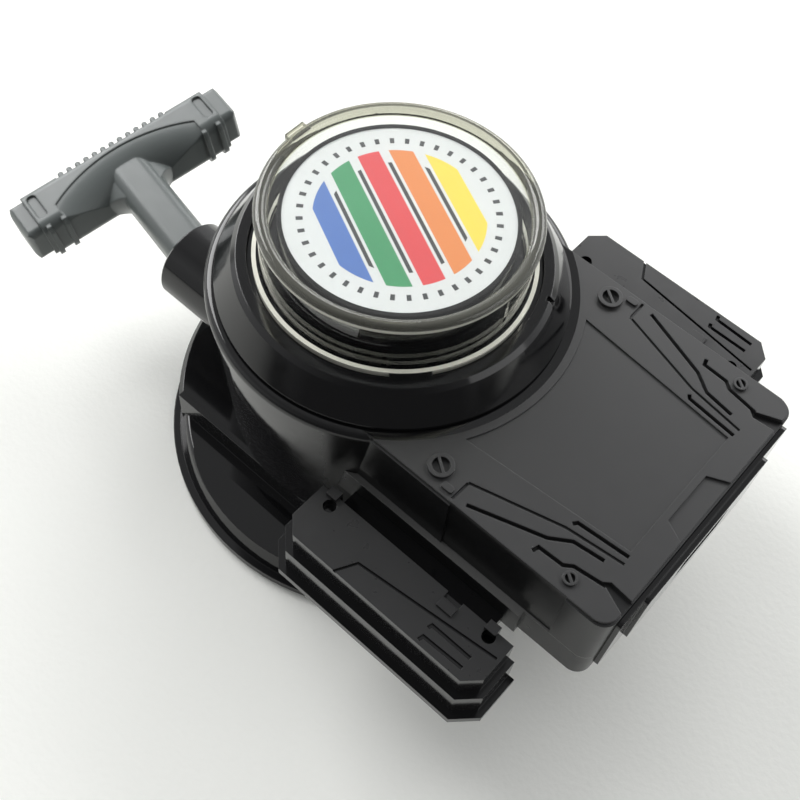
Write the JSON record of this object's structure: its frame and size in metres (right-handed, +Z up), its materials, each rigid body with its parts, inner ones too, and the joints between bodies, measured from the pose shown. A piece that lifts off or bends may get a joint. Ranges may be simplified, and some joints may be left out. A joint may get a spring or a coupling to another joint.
{
  "type": "spinning top launcher",
  "caption": "Pull-cord launcher for spinning tops: round drum with a clear display dial on a wide skirt, box body with side pods, T handle on a cord and a geared, hooked hub underneath.",
  "frame": {"origin": "on the hub axis, in the plane of the foot flange that the launcher stands on", "axes": "+X from the hub axis toward the end of the box body, +Y toward the rear pod, +Z up along the hub axis"},
  "size_m": [0.131, 0.0844, 0.0625],
  "materials": {
    "black_plastic": "black injection-moulded plastic, satin deck and gloss walls",
    "dark_plastic": "charcoal moulded plastic, matt",
    "grey_plastic": "cool mid-grey moulded plastic, satin",
    "clear_plastic": "clear moulded plastic, polished",
    "printed_card": "white printed sheet with coloured marks",
    "gear_plastic": "natural off-white engineering plastic",
    "steel": "zinc-plated steel",
    "spring_steel": "blued spring steel band",
    "brass": "turned brass",
    "cord": "braided polyester cord"
  },
  "bodies": {
    "housing": {"base_skirt": "black_plastic", "upper_housing": "black_plastic", "box_floor": "black_plastic", "end_plate": "black_plastic", "front_side_pod": "black_plastic", "rear_side_pod": "black_plastic", "cord_neck": "black_plastic", "cord_eyelet": "brass", "mechanism_plate": "steel", "hub_bush": "brass", "counter_axle": "steel", "spring_cover": "steel", "mainspring": "spring_steel", "dial_retainer": "dark_plastic", "retainer_screws": "steel", "housing_screws": "steel", "box_screws": "steel", "cord_lead": "cord"},
    "dial": {"selector_dial": "black_plastic", "disc_holder": "black_plastic", "printed_disc": "printed_card", "clear_cap": "clear_plastic"},
    "spool": {"cord_spool": "gear_plastic", "spool_gear": "gear_plastic", "cord_winding": "cord"},
    "countershaft": {"counter_gear": "gear_plastic"},
    "hub": {"drive_shaft": "steel", "hub_pinion": "gear_plastic", "top_holder": "dark_plastic"},
    "handle": {"handle_grip": "grey_plastic", "cord_end": "cord", "knot_cover": "grey_plastic"}
  },
  "joints": [
    {"name": "handle_pull", "type": "slide", "parent": "housing", "child": "handle", "axis": [-0.9792, 0.2028, 0], "range_m": [0, 0.45], "stiffness_N_per_m": 9, "springref_m": -0.225},
    {"name": "spool_spin", "type": "hinge", "parent": "housing", "child": "spool", "pos_m": [0, 0, 0.0272], "axis": [0, 0, 1], "range_deg": [-2277, 5]},
    {"name": "counter_spin", "type": "hinge", "parent": "housing", "child": "countershaft", "pos_m": [0.014, 0, 0.016], "axis": [0, 0, 1], "range_deg": [-10, 5311]},
    {"name": "hub_spin", "type": "hinge", "parent": "housing", "child": "hub", "pos_m": [0, 0, 0.01], "axis": [0, 0, 1], "range_deg": [-7961, 10]},
    {"name": "dial_turn", "type": "hinge", "parent": "housing", "child": "dial", "pos_m": [0, 0, 0.0485], "axis": [0, 0, 1], "range_deg": [0, 45]}
  ],
  "couplings": [
    {"joint": "spool_spin", "follows": "handle_pull", "rad_per_m": -88.106},
    {"joint": "counter_spin", "follows": "handle_pull", "rad_per_m": 205.58},
    {"joint": "hub_spin", "follows": "handle_pull", "rad_per_m": -308.37}
  ]
}
